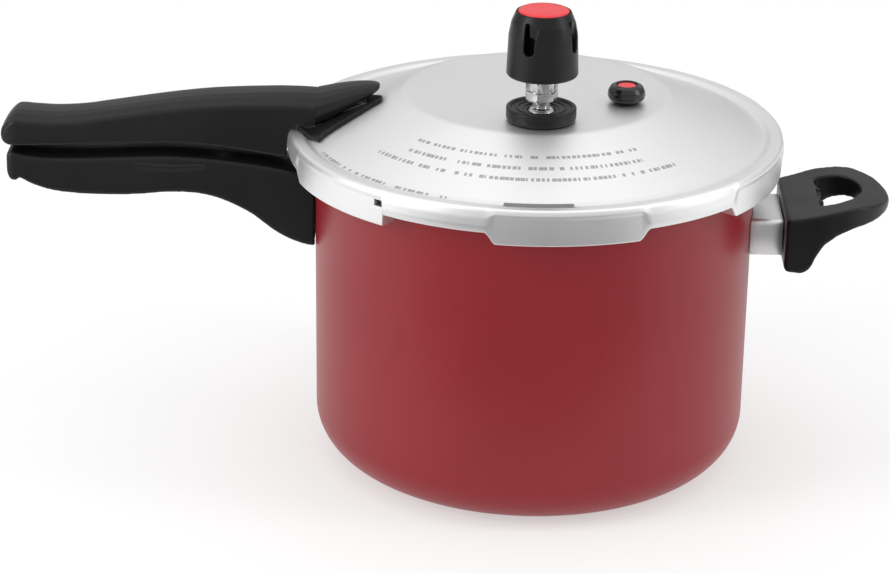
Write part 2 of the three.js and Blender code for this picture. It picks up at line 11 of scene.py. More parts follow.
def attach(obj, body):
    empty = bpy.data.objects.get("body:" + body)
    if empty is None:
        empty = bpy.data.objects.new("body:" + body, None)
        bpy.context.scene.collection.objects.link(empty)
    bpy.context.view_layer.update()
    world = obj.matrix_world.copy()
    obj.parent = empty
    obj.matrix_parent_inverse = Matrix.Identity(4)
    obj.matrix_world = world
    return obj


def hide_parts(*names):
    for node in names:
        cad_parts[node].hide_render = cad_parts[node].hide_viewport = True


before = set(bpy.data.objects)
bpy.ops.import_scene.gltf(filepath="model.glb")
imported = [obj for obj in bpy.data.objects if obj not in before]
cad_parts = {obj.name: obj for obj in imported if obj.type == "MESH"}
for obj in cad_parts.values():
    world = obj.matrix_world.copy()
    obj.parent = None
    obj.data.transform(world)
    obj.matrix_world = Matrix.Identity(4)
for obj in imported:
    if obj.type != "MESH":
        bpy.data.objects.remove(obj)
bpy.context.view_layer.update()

MM = 0.001

# ---- dimensions, as in the CAD model ----
POT_R = 103
POT_WALL = 3
POT_FLOOR = 4
POT_CORNER_R = 26
POT_CORNER_H = 23.5
RIM_Z = 150.5
FLANGE_R = 110
FLANGE_T = 2.6
NOTCH_R = 104.6
LID_R = 116
CROWN_R = 62
CROWN_Z = 178.7
SKIRT_Z = 150.4
LUG_Z = 145.2
LUG_R = 106
LUG_COUNT = 6
LUG_PITCH = 360 / LUG_COUNT
LUG_HALF = 17.2
LUG_PHASE = -82
UNLOCK = 30
CONE_FOOT = (103.5, 161.4)
VALVE = (2.5, -42)
SAFETY = (41.5, -14)
VENT_HOLE_R = 4.3
SAFETY_HOLE_R = 5
STOP_HOLE = {"turn": LUG_PHASE - 44, "half": 2.2, "z0": 154.2, "z1": 157.2}
WINDOW = {"turn": -88.6, "near": 104.2, "far": 110.6, "step": 0.7, "steps": 12}

RIVET_PLACES = ((-1, 114), (-1, 130), (1, 111.7), (1, 118.9))  # side and height on the pot's wall
RIVET_HEADS = {-1: 5, 1: 3.4}
RIVET_R = 2.4
RIVET_HOLE_R = 2.7
LID_RIVET_X = -86
LID_RIVET_YS = (-5, 5)
SCREW_HOLE_R = 2.3
SCREW_HEAD_HOLE_R = 4.4
BODY_SCREW_X = -145
LID_SCREW_X = -146
HELPER_SCREW_Z = 116
HELPER_BACK_X = 117.0
HELPER_TIP_X = 166.8
HELPER_BRACKET_Z0 = 107.4
HELPER_BRACKET_Z1 = 124.4
HELPER_BRACKET_HALF = 19.5
WALL_CUT_STEPS = 240  # pieces round a cutter as wide as the pot


# ---- camera, floor and lights ----
def make_camera():
    """A long lens, a little above the lid, with no shift. Lengths are in metres, angles in radians."""
    distance, height = 1.179103, 0.558689
    pan, pitch, roll = -0.035, 0.386, 0.013
    forward = Vector((math.sin(pan) * math.cos(pitch), math.cos(pan) * math.cos(pitch), -math.sin(pitch)))
    level = Vector((math.cos(pan), -math.sin(pan), 0))
    upright = level.cross(forward)
    right = math.cos(roll) * level + math.sin(roll) * upright
    up = -math.sin(roll) * level + math.cos(roll) * upright
    data = bpy.data.cameras.new("camera")
    data.sensor_width = 36
    data.lens = 107.32
    camera = bpy.data.objects.new("camera", data)
    turn = Matrix((right, up, -forward)).transposed().to_4x4()
    camera.matrix_world = Matrix.Translation((0, -distance, height)) @ turn
    bpy.context.scene.collection.objects.link(camera)
    bpy.context.scene.camera = camera


def level_sheet(name, x_half, y0, y1, z, material):
    """A level rectangle of the stage, in metres."""
    mesh = bpy.data.meshes.new(name)
    corners = [(-x_half, y0, z), (x_half, y0, z), (x_half, y1, z), (-x_half, y1, z)]
    mesh.from_pydata(corners, [], [(0, 1, 2, 3)])
    mesh.materials.append(material)
    sheet = bpy.data.objects.new(name, mesh)
    bpy.context.scene.collection.objects.link(sheet)
    return sheet


def make_floor():
    material, shader = new_material("floor_paper")[:2]
    shader.inputs["Base Color"].default_value = (0.5, 0.5, 0.5, 1)
    shader.inputs["Roughness"].default_value = 0.95
    shader.inputs["Specular IOR Level"].default_value = 0.1
    shader.inputs["Emission Color"].default_value = (1, 1, 1, 1)
    shader.inputs["Emission Strength"].default_value = 0.49
    half = 6.0
    floor = level_sheet("floor", half, -half, half, 0, material)


def make_flag():
    """A dark card lying in front of the object. Only reflections see it, as with a studio flag."""
    material, shader = new_material("flag_card")[:2]
    shader.inputs["Base Color"].default_value = (0.16, 0.16, 0.16, 1)
    shader.inputs["Roughness"].default_value = 0.9
    x_half, near, far, lift = 0.42, -0.2, -0.78, 0.004
    flag = level_sheet("flag", x_half, far, near, lift, material)
    flag.visible_camera = False
    flag.visible_diffuse = False
    flag.visible_shadow = False
    flag.visible_transmission = False


def area_light(name, place, target, size, power):
    data = bpy.data.lights.new(name, "AREA")
    data.shape = "RECTANGLE"
    data.size, data.size_y = size
    data.energy = power
    light = bpy.data.objects.new(name, data)
    direction = Vector(target) - Vector(place)
    turn = direction.to_track_quat("-Z", "Y").to_matrix().to_4x4()
    light.matrix_world = Matrix.Translation(place) @ turn
    bpy.context.scene.collection.objects.link(light)


def make_lights():
    """A bright room above and behind, dimmer at eye level in front, and three soft boxes."""
    world = bpy.data.worlds.new("studio")
    bpy.context.scene.world = world
    world.use_nodes = True
    nodes, links = world.node_tree.nodes, world.node_tree.links
    coord = nodes.new("ShaderNodeTexCoord")
    split = nodes.new("ShaderNodeSeparateXYZ")
    links.new(coord.outputs["Generated"], split.inputs[0])
    rise = nodes.new("ShaderNodeMapRange")
    rise.interpolation_type = "SMOOTHSTEP"
    links.new(split.outputs["Z"], rise.inputs["Value"])
    rise.inputs["From Min"].default_value = 0.0
    rise.inputs["From Max"].default_value = 0.45
    rise.inputs["To Min"].default_value = 0.25
    rise.inputs["To Max"].default_value = 0.8
    background = nodes["Background"]
    background.inputs["Color"].default_value = (1, 1, 1, 1)
    links.new(rise.outputs["Result"], background.inputs["Strength"])
    centre = (0, 0, 0.1)
    area_light("top", (0, 0.1, 1.9), centre, (2.4, 1.8), 7)
    area_light("left", (-1.5, -0.75, 0.75), centre, (0.7, 1.3), 13)
    area_light("right", (1.5, -0.35, 0.8), centre, (0.5, 1.3), 7)


# ---- material helpers ----
def new_material(name):
    material = bpy.data.materials.new(name)
    material.use_nodes = True
    tree = material.node_tree
    return material, tree.nodes["Principled BSDF"], tree.nodes, tree.links


def noise(nodes, links, scale, detail=3.0, stretch=(1, 1, 1)):
    """Noise in the object's own space, in features per metre."""
    coord = nodes.new("ShaderNodeTexCoord")
    mapping = nodes.new("ShaderNodeMapping")
    mapping.inputs["Scale"].default_value = stretch
    texture = nodes.new("ShaderNodeTexNoise")
    texture.inputs["Scale"].default_value = scale
    texture.inputs["Detail"].default_value = detail
    links.new(coord.outputs["Object"], mapping.inputs["Vector"])
    links.new(mapping.outputs["Vector"], texture.inputs["Vector"])
    return texture.outputs["Fac"]


def ramp(nodes, links, source, low, high, start=0.3, end=0.7):
    """Maps a grey value between two numbers or two colours."""
    if not isinstance(low, (int, float)):
        node = nodes.new("ShaderNodeMix")
        node.data_type = "RGBA"
        links.new(ramp(nodes, links, source, 0.0, 1.0, start, end), node.inputs[0])
        node.inputs[6].default_value = (*low, 1)
        node.inputs[7].default_value = (*high, 1)
        return node.outputs[2]
    node = nodes.new("ShaderNodeMapRange")
    links.new(source, node.inputs["Value"])
    node.inputs["From Min"].default_value = start
    node.inputs["From Max"].default_value = end
    node.inputs["To Min"].default_value = low
    node.inputs["To Max"].default_value = high
    return node.outputs["Result"]


def bump(nodes, links, shader, height, strength, distance):
    node = nodes.new("ShaderNodeBump")
    node.inputs["Strength"].default_value = strength
    node.inputs["Distance"].default_value = distance
    links.new(height, node.inputs["Height"])
    links.new(node.outputs["Normal"], shader.inputs["Normal"])


def polar(nodes, links):
    """Radius, angle and height about the upright axis, from the object's own coordinates."""
    coord = nodes.new("ShaderNodeTexCoord")
    split = nodes.new("ShaderNodeSeparateXYZ")
    links.new(coord.outputs["Object"], split.inputs[0])
    flat = nodes.new("ShaderNodeCombineXYZ")
    links.new(split.outputs["X"], flat.inputs["X"])
    links.new(split.outputs["Y"], flat.inputs["Y"])
    length = nodes.new("ShaderNodeVectorMath")
    length.operation = "LENGTH"
    links.new(flat.outputs[0], length.inputs[0])
    angle = nodes.new("ShaderNodeMath")
    angle.operation = "ARCTAN2"
    links.new(split.outputs["Y"], angle.inputs[0])
    links.new(split.outputs["X"], angle.inputs[1])
    return length.outputs["Value"], angle.outputs[0], split.outputs["Z"]


def math_node(nodes, links, operation, a, b=None):
    node = nodes.new("ShaderNodeMath")
    node.operation = operation
    for socket, value in zip(node.inputs, (a, b)):
        if value is None:
            continue
        if isinstance(value, (int, float)):
            socket.default_value = value
        else:
            links.new(value, socket)
    return node.outputs[0]


# ---- materials ----
def red_coating():
    material, shader, nodes, links = new_material("red_coating")
    speckle = noise(nodes, links, 2600, 2)
    cloud = noise(nodes, links, 14, 3)
    colour = ramp(nodes, links, cloud, (0.235, 0.0085, 0.0135), (0.26, 0.0105, 0.016))
    links.new(colour, shader.inputs["Base Color"])
    links.new(ramp(nodes, links, speckle, 0.33, 0.43), shader.inputs["Roughness"])
    shader.inputs["Specular IOR Level"].default_value = 0.4
    bump(nodes, links, shader, speckle, 0.12, 0.00008)
    return material


def spun_aluminium(name, colour, rough, lines):
    """Metal turned on a lathe: fine rings about an upright axis."""
    material, shader, nodes, links = new_material(name)
    radius, angle, height = polar(nodes, links)
    along = math_node(nodes, links, "ADD", radius, height)
    ring = nodes.new("ShaderNodeTexNoise")
    ring.noise_dimensions = "1D"
    ring.inputs["Scale"].default_value = lines * 4
    ring.inputs["Detail"].default_value = 4
    links.new(along, ring.inputs["W"])
    broad = noise(nodes, links, 30, 3)
    mixed = math_node(nodes, links, "ADD", math_node(nodes, links, "MULTIPLY", ring.outputs["Fac"], 0.5),
                      math_node(nodes, links, "MULTIPLY", broad, 0.5))
    shader.inputs["Metallic"].default_value = 1
    shader.inputs["Base Color"].default_value = (*colour, 1)
    links.new(ramp(nodes, links, mixed, rough[0], rough[1]), shader.inputs["Roughness"])
    bump(nodes, links, shader, ring.outputs["Fac"], 0.05, 0.00004)
    return material, shader, nodes, links, radius, angle, height


def plain_metal(name, colour, rough, stretch=(1, 1, 1)):
    material, shader, nodes, links = new_material(name)
    grain = noise(nodes, links, 1500, 3, stretch)
    shader.inputs["Metallic"].default_value = 1
    shader.inputs["Base Color"].default_value = (*colour, 1)
    links.new(ramp(nodes, links, grain, rough * 0.8, rough * 1.2), shader.inputs["Roughness"])
    bump(nodes, links, shader, grain, 0.06, 0.00005)
    return material


def moulded(name, colour, rough, grain_scale=2200, grain=0.10, specular=0.5):
    material, shader, nodes, links = new_material(name)
    fine = noise(nodes, links, grain_scale, 2)
    broad = noise(nodes, links, 35, 3)
    lighter = tuple(c * 1.35 for c in colour)
    links.new(ramp(nodes, links, broad, colour, lighter), shader.inputs["Base Color"])
    links.new(ramp(nodes, links, broad, rough * 0.9, rough * 1.12), shader.inputs["Roughness"])
    shader.inputs["Specular IOR Level"].default_value = specular
    bump(nodes, links, shader, fine, grain, 0.00006)
    return material


# ---- mesh helpers ----
def fillet(points, closed, step=14, pieces_each=None):
    """Rounds the corners of an outline of (r, z) or (r, z, radius) with arcs of about step degrees,
    or with the same number of pieces at every corner."""
    corners = [(Vector(p[:2]), p[2] if len(p) > 2 else 0) for p in points]
    count = len(corners)
    result = []
    for i, (here, radius) in enumerate(corners):
        ends = not closed and i in (0, count - 1)
        before = corners[i - 1][0] - here
        after = corners[(i + 1) % count][0] - here
        if ends or radius <= 0:
            result.append(tuple(here))
            continue
        a, b = before.normalized(), after.normalized()
        corner = a.angle(b)
        if pieces_each is None and corner > math.pi - 0.02:
            result.append(tuple(here))
            continue
        reach = radius / math.tan(corner / 2)
        limit = 0.49 * min(before.length, after.length)
        reach = min(reach, limit)
        radius = reach * math.tan(corner / 2)
        middle = here + (a + b).normalized() * (radius / math.sin(corner / 2))
        first, last = here + a * reach - middle, here + b * reach - middle
        swing = math.atan2(first.x * last.y - first.y * last.x, first.dot(last))
        pieces = pieces_each or max(2, round(abs(math.degrees(swing)) / step))
        for k in range(pieces + 1):
            t = swing * k / pieces
            turned = Vector((first.x * math.cos(t) - first.y * math.sin(t),
                             first.x * math.sin(t) + first.y * math.cos(t)))
            result.append(tuple(middle + turned))
    return result


def new_object(name, vertices, faces, smooth_angle=35):
    mesh = bpy.data.meshes.new(name)
    mesh.from_pydata([tuple(v) for v in vertices], [], faces)
    mesh.validate()
    made = bpy.data.objects.new(name, mesh)
    bpy.context.scene.collection.objects.link(made)
    outward(made)
    shade(made, smooth_angle)
    return made


def outward(obj):
    shape = bmesh.new()
    shape.from_mesh(obj.data)
    bmesh.ops.recalc_face_normals(shape, faces=shape.faces)
    shape.to_mesh(obj.data)
    shape.free()


def shade(obj, angle=35):
    obj.data.shade_smooth()
    obj.data.set_sharp_from_angle(angle=math.radians(angle))


def revolve(name, outline, closed, centre=(0, 0), segments=128, shape=None, smooth_angle=35):
    """Turns an outline about an upright axis. An open outline starts and ends on the axis.
    shape(degrees, index) may give another (r, z) for a point at an angle."""
    angles = [2 * math.pi * k / segments for k in range(segments)]
    body = outline if closed else outline[1:-1]
    first = 0 if closed else 1
    vertices = []
    for t in angles:
        for i, point in enumerate(body):
            r, z = shape(math.degrees(t), i + first) if shape else point
            x, y = centre[0] + r * math.cos(t), centre[1] + r * math.sin(t)
            vertices.append((x * MM, y * MM, z * MM))
    count = len(body)
    faces = []
    pairs = count if closed else count - 1
    for k in range(segments):
        a, b = k * count, ((k + 1) % segments) * count
        for i in range(pairs):
            j = (i + 1) % count
            faces.append((a + i, b + i, b + j, a + j))
    if not closed:
        for place, end in ((0, outline[0]), (count - 1, outline[-1])):
            pole = len(vertices)
            vertices.append((centre[0] * MM, centre[1] * MM, end[1] * MM))
            for k in range(segments):
                faces.append((k * count + place, ((k + 1) % segments) * count + place, pole))
    return new_object(name, vertices, faces, smooth_angle)


def loft(name, rings):
    """Skins rings of equal point count, in mm, and closes both ends."""
    count = len(rings[0])
    vertices = [tuple(c * MM for c in p) for ring in rings for p in ring]
    faces = []
    for s in range(len(rings) - 1):
        for i in range(count):
            a, b = s * count + i, s * count + (i + 1) % count
            faces.append((a, b, b + count, a + count))
    faces.append(tuple(range(count)))
    faces.append(tuple(range((len(rings) - 1) * count, len(rings) * count)))
    return new_object(name, vertices, faces)


def prism(name, outline, z0, z1, axis="Z"):
    """Extrudes an outline along Z, or an (x, z) outline along Y."""
    def place(p, h):
        return (p[0], p[1], h) if axis == "Z" else (p[0], h, p[1])
    return loft(name, [[place(p, z0) for p in outline], [place(p, z1) for p in outline]])


def box(name, x0, x1, y0, y1, z0, z1):
    return prism(name, [(x0, y0), (x1, y0), (x1, y1), (x0, y1)], z0, z1)


def rod(name, radius, start, end, segments=48):
    """A round bar between two points in mm."""
    a, b = Vector(start), Vector(end)
    turn = (b - a).to_track_quat("Z", "Y").to_matrix()
    ring = [turn @ Vector((radius * math.cos(t), radius * math.sin(t), 0))
            for t in (2 * math.pi * k / segments for k in range(segments))]
    return loft(name, [[tuple(a + p) for p in ring], [tuple(b + p) for p in ring]])


def boolean(obj, other, operation):
    modifier = obj.modifiers.new("cut", "BOOLEAN")
    modifier.object = other
    modifier.operation = operation
    modifier.solver = "EXACT"
    apply_modifiers(obj)
    bpy.data.objects.remove(other)


def cut(obj, *others):
    for other in others:
        boolean(obj, other, "DIFFERENCE")


def join(obj, *others):
    for other in others:
        boolean(obj, other, "UNION")


def apply_modifiers(obj):
    graph = bpy.context.evaluated_depsgraph_get()
    mesh = bpy.data.meshes.new_from_object(obj.evaluated_get(graph))
    old = obj.data
    obj.modifiers.clear()
    obj.data = mesh
    bpy.data.meshes.remove(old)


def soften(obj, voxel, repeats, smooth_angle=60):
    """Remeshes to even small faces and relaxes them, which rounds every edge like a moulding."""
    remesh = obj.modifiers.new("remesh", "REMESH")
    remesh.mode = "VOXEL"
    remesh.voxel_size = voxel * MM
    relax = obj.modifiers.new("relax", "SMOOTH")
    relax.factor = 0.5
    relax.iterations = repeats
    apply_modifiers(obj)
    shade(obj, smooth_angle)


def bevel(obj, width, segments=3):
    modifier = obj.modifiers.new("bevel", "BEVEL")
    modifier.width = width * MM
    modifier.segments = segments
    modifier.limit_method = "ANGLE"
    modifier.angle_limit = math.radians(32)
    apply_modifiers(obj)
    shade(obj, 40)


def finish_piece(obj, body, slot, material, *nodes):
    obj.data.materials.clear()
    obj.data.materials.append(material)
    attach(obj, body)
    if nodes:
        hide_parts(*nodes)
    return obj


# ---- pot ----
def corner_arc(radius, corner_r, corner_h, base, steps, rising):
    points = []
    for i in range(steps + 1):
        t = (i if rising else steps - i) / steps * math.pi / 2
        points.append((radius - corner_r * (1 - math.sin(t)), base + corner_h * (1 - math.cos(t))))
    return points


def make_pot(materials):
    """Outer coated wall, bare turned base disc, bare flange and dark non-stick inside."""
    flange_z = RIM_Z - FLANGE_T
    base_disc = [(0, 1.2), (20, 1.2), (66, 1.2), (68.5, 0.0)]
    outer = corner_arc(POT_R, POT_CORNER_R, POT_CORNER_H, 0, 20, True)
    inside_r = POT_R - POT_WALL
    inner = corner_arc(inside_r, POT_CORNER_R - POT_WALL, POT_CORNER_H - POT_FLOOR, POT_FLOOR, 18, False)

    def outline(flange_r):
        flange = [(POT_R, 100), (POT_R, flange_z, 1.2), (flange_r, flange_z, 0.5), (flange_r, RIM_Z, 0.7),
                  (inside_r, RIM_Z, 0.9), (inside_r, 130)]
        return base_disc + outer + fillet(flange, False, 20) + inner + [(30, POT_FLOOR), (0, POT_FLOOR)]

    full, notched = outline(FLANGE_R), outline(NOTCH_R)

    def shape(degrees, i):
        blend = lug_share(degrees, LUG_PHASE + UNLOCK, LUG_HALF + 2, 0.7)
        return [f + (n - f) * blend for f, n in zip(full[i], notched[i])]

    pot = revolve("pot", full, False, segments=360, shape=shape)
    for side, z in RIVET_PLACES:
        cut(pot, rod("hole", RIVET_HOLE_R, (side * 96, 0, z), (side * 110, 0, z)))
    finish_piece(pot, "pot", "red_coating", materials["red"], "pot_body")
    coating, base, bare, inside = range(4)
    for extra in ("base", "bare", "inside"):
        pot.data.materials.append(materials[extra])
    for face in pot.data.polygons:
        x, y, z = face.center / MM
        r = math.hypot(x, y)
        if z < 1.3 and r < 69:
            face.material_index = base
        elif z > flange_z - 0.4:
            face.material_index = bare
        elif r < inside_r + 0.3 and z > POT_FLOOR - 0.5:
            faces_out = face.normal.dot(Vector((x, y, -40)).normalized()) >= 0.5
            face.material_index = coating if faces_out else inside
    return pot


def lug_share(degrees, phase, half, ease, sharp_end=None):
    """1 inside a lug, 0 between lugs, with an eased step of the given half width at each end."""
    offset = (degrees - phase + LUG_PITCH / 2) % LUG_PITCH - LUG_PITCH / 2
    lug = round((degrees - phase - offset) / LUG_PITCH) % LUG_COUNT
    if sharp_end is not None and lug == sharp_end and offset > 0:
        ease = 0.12
    t = (half + ease - abs(offset)) / (2 * ease)
    t = min(1, max(0, t))
    return t * t * (3 - 2 * t)


# ---- lid ----
def lid_outline(wall, lip_r, bottom):
    """Crown, slope, groove, shoulder and skirt, from the axis out and back along the inside."""
    top = [(0, CROWN_Z), (30, CROWN_Z), (CROWN_R, CROWN_Z, 9), (*CONE_FOOT, 5), (106.8, 160.2, 2.5),
           (109.6, 161.7, 2.5)]
    inner_r = wall[-1][0] - 1.9
    inner = [(lip_r, bottom, 0.6), (lip_r, bottom + 1.9, 0.6), (inner_r, bottom + 1.9, 0.8),
             (inner_r, 157.2, 1.2), (112.2, 159.8, 1), (106.8, 158.2, 2), (103, 159.2, 3),
             (CROWN_R - 0.5, 176.7, 7), (30, 176.7), (0, 176.7)]
    return fillet(top + wall + inner, False, pieces_each=6)


def make_lid(materials):
    pressed = [(LID_R - 1.0, 161.9, 2.0), (LID_R - 0.1, 159.4, 1.2), (LID_R - 0.7, 157.4, 1.6),
               (LID_R - 0.9, LUG_Z, 1.0)]
    rounded = [(LID_R - 1.1, 161.9, 2.0), (LID_R - 0.1, 157.6, 8), (LID_R, 153.6, 5),
               (LID_R - 0.7, SKIRT_Z, 1.2)]
    lug = lid_outline(pressed, LUG_R, LUG_Z)
    gap = lid_outline(rounded, 112.6, SKIRT_Z)

    def shape(degrees, i):
        blend = lug_share(degrees, LUG_PHASE, LUG_HALF, 1.3, sharp_end=5)
        return [g + (n - g) * blend for g, n in zip(gap[i], lug[i])]

    lid = revolve("lid", lug, False, segments=1080, shape=shape, smooth_angle=40)
    window, steps = [], WINDOW["steps"]
    for sign, radius in ((1, WINDOW["far"]), (-1, WINDOW["near"])):
        for k in range(-steps, steps + 1):
            t = math.radians(WINDOW["turn"] + sign * k * WINDOW["step"])
            rounding = 1.6 if abs(k) == steps else 0
            window.append((radius * math.cos(t), radius * math.sin(t), rounding))
    window = fillet(window, True)
    cut(lid, prism("window", window, 155, 166))
    half = STOP_HOLE["half"]
    stop = box("stop", LID_R - 5, LID_R + 5, -half, half, STOP_HOLE["z0"], STOP_HOLE["z1"])
    stop.data.transform(Matrix.Rotation(math.radians(STOP_HOLE["turn"]), 4, "Z"))
    cut(lid, stop)
    cut(lid, rod("vent_hole", VENT_HOLE_R, (*VALVE, 170), (*VALVE, 185)))
    cut(lid, rod("safety_hole", SAFETY_HOLE_R, (*SAFETY, 170), (*SAFETY, 185)))
    for y in LID_RIVET_YS:
        cut(lid, rod("rivet_hole", RIVET_HOLE_R, (LID_RIVET_X, y, 160), (LID_RIVET_X, y, 182)))
    shade(lid, 40)
    return finish_piece(lid, "lid", "polished_aluminium", materials["lid"], "lid_shell")


def make_gasket(materials):
    z0, z1 = RIM_Z + 0.3, 158.0
    outline = fillet([(100.5, z0, 0.5), (111.5, z0, 0.9), (111.5, z1, 0.8), (103, z1, 0.8),
                      (102.6, z0 + 2.4, 0.6), (100.5, z0 + 2.2, 0.5)], True, 18)
    gasket = revolve("gasket_ring", outline, True, segments=240)
    return finish_piece(gasket, "seal", "grey_rubber", materials["grey_rubber"], "gasket")


# ---- long handles ----
def handle_ring(x, top, bottom, half, crown, hollow):
    """One section of a moulded handle: crowned top, nearly upright sides and a hollow underside."""
    wall = 2.8
    roof = bottom + hollow
    edge = half - 1.6
    right = [(edge * 0.35, top - crown * 0.10), (edge * 0.65, top - crown * 0.38), (edge, top - crown),
             (half - 0.55, top - crown - 1.4), (half - 0.25, (top - crown) * 0.55 + bottom * 0.45),
             (half, bottom + 1.2), (half - 0.5, bottom), (half - wall, bottom), (half - wall - 0.3, roof),
             ((half - wall) * 0.5, roof)]
    ring = [(x, 0, top)] + [(x, y, z) for y, z in right] + [(x, 0, roof)]
    return ring + [(x, -y, z) for y, z in reversed(right)]


def smooth_stations(stations, per_span=3):
    """Runs a smooth curve through rows of numbers whose first column is x."""
    table = np.array(stations, float)
    result = []
    for i in range(len(table) - 1):
        p0, p1 = table[max(i - 1, 0)], table[i]
        p2, p3 = table[i + 1], table[min(i + 2, len(table) - 1)]
        for k in range(per_span):
            t = k / per_span
            m1 = (p2 - p0) / max(abs(p2[0] - p0[0]), 1e-6) * abs(p2[0] - p1[0])
            m2 = (p3 - p1) / max(abs(p3[0] - p1[0]), 1e-6) * abs(p2[0] - p1[0])
            row = ((2 * t**3 - 3 * t**2 + 1) * p1 + (t**3 - 2 * t**2 + t) * m1
                   + (3 * t**2 - 2 * t**3) * p2 + (t**3 - t**2) * m2)
            result.append(row)
    result.append(table[-1])
    return result


def lid_clearance(offset):
    """A solid under the lid's outer face, moved out by an offset, for cutting what rests on it."""
    face = [(CROWN_R, CROWN_Z + offset), (CONE_FOOT[0], CONE_FOOT[1] + offset), (106.8, 160.4 + offset),
            (109.6, 161.8 + offset), (114.6 + offset, 161.9 + offset), (LID_R + offset, 159.5),
            (LID_R + offset, 130)]
    outline = [(0, CROWN_Z + offset)] + fillet(face, False) + [(0, 130)]
    return revolve("clearance", outline, False, segments=WALL_CUT_STEPS)


# where the upper handle meets its cover
SEAM_X = -102
# x, top, bottom, half width, crown drop, hollow height
LID_HANDLE = [
    (-99, 176.9, 161.0, 15.1, 4.6, 0), (-102, 177.0, 157.0, 15.2, 4.5, 0),
    (-109, 177.2, 151.0, 15.4, 4.2, 0), (-117, 177.2, 148.4, 15.5, 4.0, 0),
    (-122, 177.1, 149.0, 15.5, 3.9, 0), (-124, 177.0, 149.3, 15.5, 3.9, 16),
    (-137, 176.3, 151.2, 15.5, 3.6, 16), (-152, 175.2, 153.0, 15.4, 3.4, 14),
    (-168, 173.2, 153.6, 15.3, 3.2, 11), (-182, 171.0, 153.1, 15.2, 3.1, 9),
    (-200, 168.0, 152.4, 15.2, 3.1, 8), (-212, 166.0, 151.8, 15.3, 3.2, 7),
    (-225, 165.0, 151.2, 15.5, 3.2, 6.5), (-236, 165.3, 150.9, 15.6, 3.2, 6),
    (-240, 165.6, 150.7, 15.6, 3.1, 6), (-241.5, 165.6, 150.7, 15.6, 3.0, 0),
    (-244, 165.3, 150.6, 15.4, 2.8, 0), (-247, 162.6, 151.2, 14.8, 2.2, 0),
    (-248.9, 159.8, 152.6, 13.8, 1.4, 0), (-249.6, 158.0, 154.4, 12.8, 0.6, 0),
]
BODY_HANDLE = [
    (-100, 140.2, 104.0, 15.5, 2.4, 0), (-104, 141.2, 104.4, 15.5, 2.4, 0),
    (-107, 142.0, 104.9, 15.5, 2.4, 0), (-108.5, 142.4, 105.3, 15.5, 2.4, 30),
    (-114.5, 143.4, 107.5, 15.5, 2.3, 29), (-121, 144.6, 111.1, 15.5, 2.2, 26),
    (-127, 145.4, 115.6, 15.5, 2.1, 23), (-132, 146.0, 119.5, 15.5, 2.0, 20),
    (-141, 147.0, 124.3, 15.5, 1.9, 16), (-150, 147.8, 127.7, 15.5, 1.8, 14),
    (-160, 148.4, 129.4, 15.5, 1.8, 12), (-172, 148.7, 129.4, 15.5, 1.8, 12),
    (-185, 148.2, 128.0, 15.5, 1.8, 13), (-200, 147.4, 127.4, 15.5, 1.8, 13),
    (-213, 146.8, 127.6, 15.5, 1.8, 12), (-226, 146.6, 128.9, 15.5, 1.8, 10),
    (-236, 147.0, 132.0, 15.5, 1.7, 8), (-241.5, 147.9, 134.8, 15.4, 1.6, 6),
    (-242.6, 148.2, 133.6, 15.4, 1.6, 0), (-245.0, 148.6, 133.4, 15.2, 1.4, 0),
    (-246.6, 147.6, 135.0, 14.6, 1.2, 0), (-247.4, 146.4, 137.0, 13.6, 0.9, 0),
]
# x, top, bottom, half width, crown drop
COVER = [
    (-106, 176.6, 160.4, 15.4, 4.6), (-101.7, 177.3, 163.2, 15.2, 4.5), (-98, 178.1, 165.2, 14.9, 4.4),
    (-92, 179.4, 168.4, 13.8, 4.0), (-85, 180.5, 172.2, 11.9, 3.2), (-79, 181.0, 175.4, 9.4, 2.4),
    (-75.5, 181.0, 177.2, 7.2, 1.8), (-73.6, 180.6, 178.2, 5.0, 1.1), (-72.8, 180.0, 178.8, 3.0, 0.5),
]


def make_handle_blank(name, stations):
    rows = smooth_stations(stations)
    return loft(name, [handle_ring(x, top, bottom, half, crown, max(hollow, 0.02))
                       for x, top, bottom, half, crown, hollow in rows])


def make_lid_handle(materials):
    handle = make_handle_blank("upper_handle", LID_HANDLE)
    near = [(-113, -14), (-110.5, -15.4, 1.5), (-98.6, -31.8, 0.9), (-97.2, -28.2, 1.2), (-92, -23.4, 4),
            (-84.6, -18.6, 8), (-76.7, -13.2, 6), (-71.2, -9.6, 2.6), (-71.0, -6.4, 2.6), (-77.5, 3, 5)]
    far = [(x, -y, *rest) for x, y, *rest in reversed(near[:6])]
    foot = near + [(-79, 12, 3)] + far
    plate = prism("foot", fillet(foot, True, 15), 140, 200)
    boolean(plate, lid_clearance(2.2), "INTERSECT")
    join(handle, plate)
    boss = box("boss", -152, -140, -13.5, 13.5, 156.5, 170)
    join(handle, boss)
    bracket_room = box("bracket_room", -106, -78, -9.4, 9.4, 150, 172)
    boolean(bracket_room, lid_clearance(12), "INTERSECT")
    cut(handle, box("tongue_room", -158, -90, -9.5, 9.5, 165.6, 168.4), bracket_room)
    cut(handle, rod("screw_hole", SCREW_HEAD_HOLE_R, (LID_SCREW_X, 0, 145), (LID_SCREW_X, 0, 158.2)))
    cut(handle, lid_clearance(0.12))
    soften(handle, 0.5, 3)
    above_foot = box("seam", SEAM_X, -60, -20, 20, 150, 190)
    cut(above_foot, lid_clearance(2.5))
    cut(handle, above_foot)
    shade(handle, 50)
    return finish_piece(handle, "lid", "black_phenolic", materials["black"], "lid_handle")


